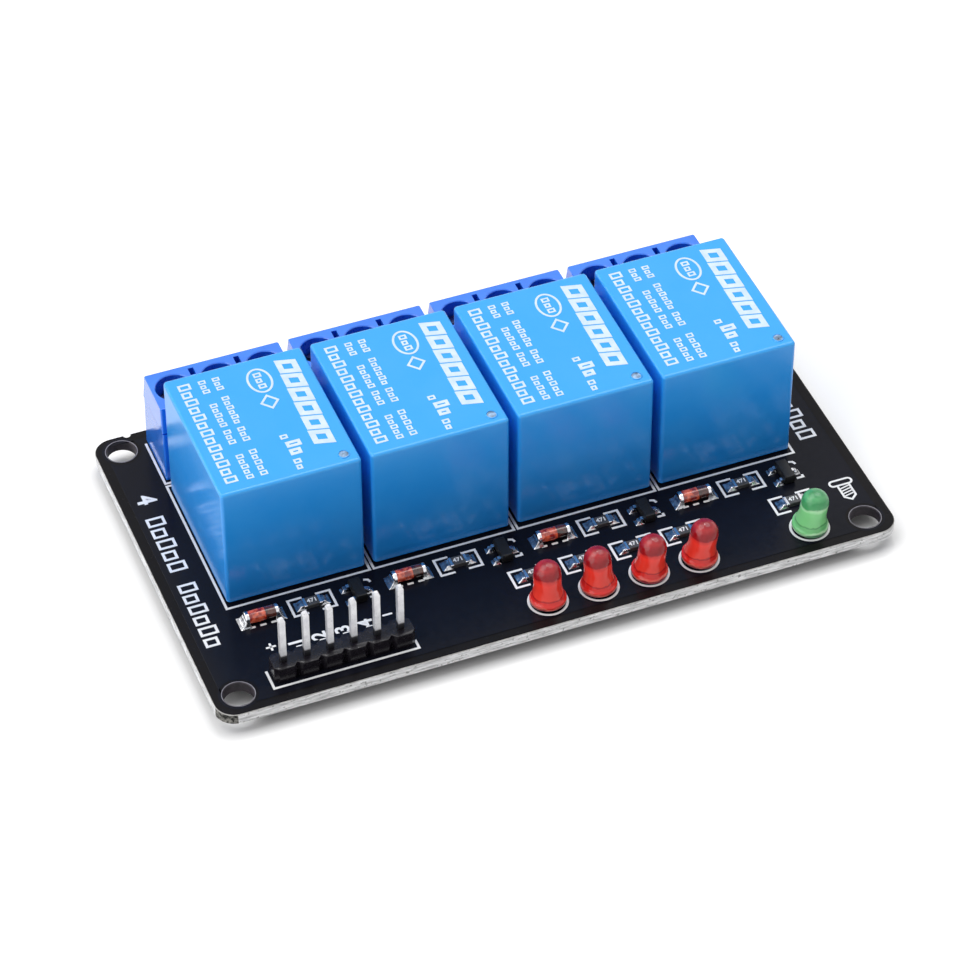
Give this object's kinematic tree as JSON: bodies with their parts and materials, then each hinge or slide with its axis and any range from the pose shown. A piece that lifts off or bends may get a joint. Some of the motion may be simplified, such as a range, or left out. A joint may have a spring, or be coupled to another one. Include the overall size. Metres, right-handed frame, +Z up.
{
  "type": "relay module board",
  "caption": "Relay module: black circuit board with sealed relays, screw terminals for the switched wires, a pin header, and lamps that show each channel's state.",
  "frame": {"origin": "centre of the four mounting holes, in the plane of the board's underside", "axes": "+X along the long side, +Y from the pin header towards the screw terminals, +Z up out of the component side"},
  "size_m": [0.0757, 0.044, 0.0182],
  "materials": {
    "solder_mask": "satin black solder mask",
    "relay_blue": "moulded gloss",
    "terminal_blue": "moulded satin",
    "black_plastic": "moulded satin",
    "former_plastic": "moulded satin",
    "winding_copper": "enamelled wire",
    "iron": "zinc plated",
    "spring_bronze": "rolled",
    "tinned_metal": "tin plated",
    "plated_steel": "nickel plated",
    "red_lens": "clear tinted resin",
    "green_lens": "clear tinted resin",
    "diode_glass": "tinted glass",
    "chip_black": "moulded",
    "solder": "bright"
  },
  "bodies": {
    "board": {"pcb": "solder_mask", "relay_bases": "black_plastic", "relay_pins": "tinned_metal", "relay_yokes": "iron", "relay_bobbins": "former_plastic", "relay_windings": "winding_copper", "relay_cores": "iron", "terminal_clamps": "tinned_metal", "header_insulator": "black_plastic", "header_pins": "tinned_metal", "red_led_lenses": "red_lens", "green_led_lens": "green_lens", "led_leads": "tinned_metal", "diode_glass": "diode_glass", "diode_caps": "tinned_metal", "transistor_bodies": "chip_black", "transistor_leads": "tinned_metal", "resistor_bodies": "chip_black", "resistor_ends": "tinned_metal", "solder_joints": "solder", "relay_cover_1": "relay_blue", "terminal_housing_1": "terminal_blue", "relay_cover_2": "relay_blue", "terminal_housing_2": "terminal_blue", "relay_cover_3": "relay_blue", "terminal_housing_3": "terminal_blue", "relay_cover_4": "relay_blue", "terminal_housing_4": "terminal_blue"},
    "armature_1": {"relay_armature_1": "iron", "contact_spring_1": "spring_bronze"},
    "armature_2": {"relay_armature_2": "iron", "contact_spring_2": "spring_bronze"},
    "armature_3": {"relay_armature_3": "iron", "contact_spring_3": "spring_bronze"},
    "armature_4": {"relay_armature_4": "iron", "contact_spring_4": "spring_bronze"},
    "leaf_1": {"clamp_leaf_1": "plated_steel"},
    "screw_1": {"terminal_screw_1": "plated_steel"},
    "leaf_2": {"clamp_leaf_2": "plated_steel"},
    "screw_2": {"terminal_screw_2": "plated_steel"},
    "leaf_3": {"clamp_leaf_3": "plated_steel"},
    "screw_3": {"terminal_screw_3": "plated_steel"},
    "leaf_4": {"clamp_leaf_4": "plated_steel"},
    "screw_4": {"terminal_screw_4": "plated_steel"},
    "leaf_5": {"clamp_leaf_5": "plated_steel"},
    "screw_5": {"terminal_screw_5": "plated_steel"},
    "leaf_6": {"clamp_leaf_6": "plated_steel"},
    "screw_6": {"terminal_screw_6": "plated_steel"},
    "leaf_7": {"clamp_leaf_7": "plated_steel"},
    "screw_7": {"terminal_screw_7": "plated_steel"},
    "leaf_8": {"clamp_leaf_8": "plated_steel"},
    "screw_8": {"terminal_screw_8": "plated_steel"},
    "leaf_9": {"clamp_leaf_9": "plated_steel"},
    "screw_9": {"terminal_screw_9": "plated_steel"},
    "leaf_10": {"clamp_leaf_10": "plated_steel"},
    "screw_10": {"terminal_screw_10": "plated_steel"},
    "leaf_11": {"clamp_leaf_11": "plated_steel"},
    "screw_11": {"terminal_screw_11": "plated_steel"},
    "leaf_12": {"clamp_leaf_12": "plated_steel"},
    "screw_12": {"terminal_screw_12": "plated_steel"}
  },
  "joints": [
    {"name": "armature_1_swing", "type": "hinge", "parent": "board", "child": "armature_1", "pos_m": [-0.0243, -0.00445, 0.0127], "axis": [-1, 0, 0], "range_deg": [0, 4.4], "stiffness_Nm_per_rad": 0.02, "springref_deg": -2.86},
    {"name": "armature_2_swing", "type": "hinge", "parent": "board", "child": "armature_2", "pos_m": [-0.0081, -0.00445, 0.0127], "axis": [-1, 0, 0], "range_deg": [0, 4.4], "stiffness_Nm_per_rad": 0.02, "springref_deg": -2.86},
    {"name": "armature_3_swing", "type": "hinge", "parent": "board", "child": "armature_3", "pos_m": [0.0081, -0.00445, 0.0127], "axis": [-1, 0, 0], "range_deg": [0, 4.4], "stiffness_Nm_per_rad": 0.02, "springref_deg": -2.86},
    {"name": "armature_4_swing", "type": "hinge", "parent": "board", "child": "armature_4", "pos_m": [0.0243, -0.00445, 0.0127], "axis": [-1, 0, 0], "range_deg": [0, 4.4], "stiffness_Nm_per_rad": 0.02, "springref_deg": -2.86},
    {"name": "leaf_1_slide", "type": "slide", "parent": "board", "child": "leaf_1", "axis": [0, 0, -1], "range_m": [0, 0.0022]},
    {"name": "screw_1_turn", "type": "hinge", "parent": "leaf_1", "child": "screw_1", "pos_m": [-0.02948, 0.0162, 0.0077], "axis": [0, 0, -1], "range_deg": [0, 1761]},
    {"name": "leaf_2_slide", "type": "slide", "parent": "board", "child": "leaf_2", "axis": [0, 0, -1], "range_m": [0, 0.0022]},
    {"name": "screw_2_turn", "type": "hinge", "parent": "leaf_2", "child": "screw_2", "pos_m": [-0.0244, 0.0162, 0.0077], "axis": [0, 0, -1], "range_deg": [0, 1761]},
    {"name": "leaf_3_slide", "type": "slide", "parent": "board", "child": "leaf_3", "axis": [0, 0, -1], "range_m": [0, 0.0022]},
    {"name": "screw_3_turn", "type": "hinge", "parent": "leaf_3", "child": "screw_3", "pos_m": [-0.01932, 0.0162, 0.0077], "axis": [0, 0, -1], "range_deg": [0, 1761]},
    {"name": "leaf_4_slide", "type": "slide", "parent": "board", "child": "leaf_4", "axis": [0, 0, -1], "range_m": [0, 0.0022]},
    {"name": "screw_4_turn", "type": "hinge", "parent": "leaf_4", "child": "screw_4", "pos_m": [-0.01328, 0.0162, 0.0077], "axis": [0, 0, -1], "range_deg": [0, 1761]},
    {"name": "leaf_5_slide", "type": "slide", "parent": "board", "child": "leaf_5", "axis": [0, 0, -1], "range_m": [0, 0.0022]},
    {"name": "screw_5_turn", "type": "hinge", "parent": "leaf_5", "child": "screw_5", "pos_m": [-0.0082, 0.0162, 0.0077], "axis": [0, 0, -1], "range_deg": [0, 1761]},
    {"name": "leaf_6_slide", "type": "slide", "parent": "board", "child": "leaf_6", "axis": [0, 0, -1], "range_m": [0, 0.0022]},
    {"name": "screw_6_turn", "type": "hinge", "parent": "leaf_6", "child": "screw_6", "pos_m": [-0.00312, 0.0162, 0.0077], "axis": [0, 0, -1], "range_deg": [0, 1761]},
    {"name": "leaf_7_slide", "type": "slide", "parent": "board", "child": "leaf_7", "axis": [0, 0, -1], "range_m": [0, 0.0022]},
    {"name": "screw_7_turn", "type": "hinge", "parent": "leaf_7", "child": "screw_7", "pos_m": [0.00292, 0.0162, 0.0077], "axis": [0, 0, -1], "range_deg": [0, 1761]},
    {"name": "leaf_8_slide", "type": "slide", "parent": "board", "child": "leaf_8", "axis": [0, 0, -1], "range_m": [0, 0.0022]},
    {"name": "screw_8_turn", "type": "hinge", "parent": "leaf_8", "child": "screw_8", "pos_m": [0.008, 0.0162, 0.0077], "axis": [0, 0, -1], "range_deg": [0, 1761]},
    {"name": "leaf_9_slide", "type": "slide", "parent": "board", "child": "leaf_9", "axis": [0, 0, -1], "range_m": [0, 0.0022]},
    {"name": "screw_9_turn", "type": "hinge", "parent": "leaf_9", "child": "screw_9", "pos_m": [0.01308, 0.0162, 0.0077], "axis": [0, 0, -1], "range_deg": [0, 1761]},
    {"name": "leaf_10_slide", "type": "slide", "parent": "board", "child": "leaf_10", "axis": [0, 0, -1], "range_m": [0, 0.0022]},
    {"name": "screw_10_turn", "type": "hinge", "parent": "leaf_10", "child": "screw_10", "pos_m": [0.01912, 0.0162, 0.0077], "axis": [0, 0, -1], "range_deg": [0, 1761]},
    {"name": "leaf_11_slide", "type": "slide", "parent": "board", "child": "leaf_11", "axis": [0, 0, -1], "range_m": [0, 0.0022]},
    {"name": "screw_11_turn", "type": "hinge", "parent": "leaf_11", "child": "screw_11", "pos_m": [0.0242, 0.0162, 0.0077], "axis": [0, 0, -1], "range_deg": [0, 1761]},
    {"name": "leaf_12_slide", "type": "slide", "parent": "board", "child": "leaf_12", "axis": [0, 0, -1], "range_m": [0, 0.0022]},
    {"name": "screw_12_turn", "type": "hinge", "parent": "leaf_12", "child": "screw_12", "pos_m": [0.02928, 0.0162, 0.0077], "axis": [0, 0, -1], "range_deg": [0, 1761]}
  ],
  "couplings": [
    {"joint": "screw_1_turn", "follows": "leaf_1_slide", "rad_per_m": 13963},
    {"joint": "screw_2_turn", "follows": "leaf_2_slide", "rad_per_m": 13963},
    {"joint": "screw_3_turn", "follows": "leaf_3_slide", "rad_per_m": 13963},
    {"joint": "screw_4_turn", "follows": "leaf_4_slide", "rad_per_m": 13963},
    {"joint": "screw_5_turn", "follows": "leaf_5_slide", "rad_per_m": 13963},
    {"joint": "screw_6_turn", "follows": "leaf_6_slide", "rad_per_m": 13963},
    {"joint": "screw_7_turn", "follows": "leaf_7_slide", "rad_per_m": 13963},
    {"joint": "screw_8_turn", "follows": "leaf_8_slide", "rad_per_m": 13963},
    {"joint": "screw_9_turn", "follows": "leaf_9_slide", "rad_per_m": 13963},
    {"joint": "screw_10_turn", "follows": "leaf_10_slide", "rad_per_m": 13963},
    {"joint": "screw_11_turn", "follows": "leaf_11_slide", "rad_per_m": 13963},
    {"joint": "screw_12_turn", "follows": "leaf_12_slide", "rad_per_m": 13963}
  ]
}
